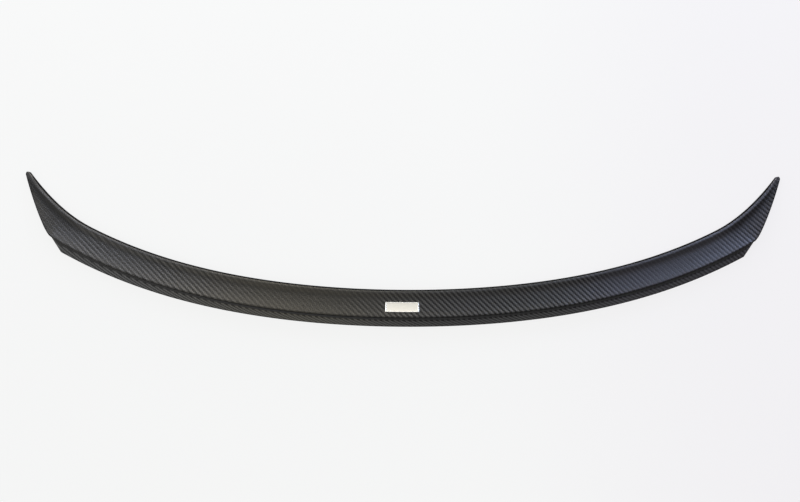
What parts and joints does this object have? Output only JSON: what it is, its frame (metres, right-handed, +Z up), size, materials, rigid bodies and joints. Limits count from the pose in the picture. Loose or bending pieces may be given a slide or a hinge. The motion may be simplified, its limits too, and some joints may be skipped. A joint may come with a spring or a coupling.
{
  "type": "car rear spoiler",
  "caption": "Bowed boot-lid lip spoiler in carbon twill: dished ramp rising to a lip, groove and rear flange, pointed ends, bare metal plate, mounting tape underneath.",
  "frame": {"origin": "middle of the bounding box in X and Y, at the height of the flange's bottom edge", "axes": "+X across the car to its right, +Y to the car's front, +Z up"},
  "size_m": [1.096, 0.222, 0.0238],
  "materials": {
    "laminate": "satin clear-coated carbon-fibre twill",
    "plate_metal": "satin, bare",
    "film": "clear adhesive film",
    "foam_tape": "matte closed-cell foam",
    "liner": "thin red release liner"
  },
  "bodies": {
    "root": {"shell": "laminate", "badge_plate": "plate_metal", "plate_film": "film", "front_tape_left": "foam_tape", "front_tape_middle": "foam_tape", "front_tape_right": "foam_tape", "rear_tape_left": "foam_tape", "rear_tape_middle": "foam_tape", "rear_tape_right": "foam_tape", "front_liner_left": "liner", "front_liner_middle": "liner", "front_liner_right": "liner", "rear_liner_left": "liner", "rear_liner_middle": "liner", "rear_liner_right": "liner"}
  },
  "joints": []
}
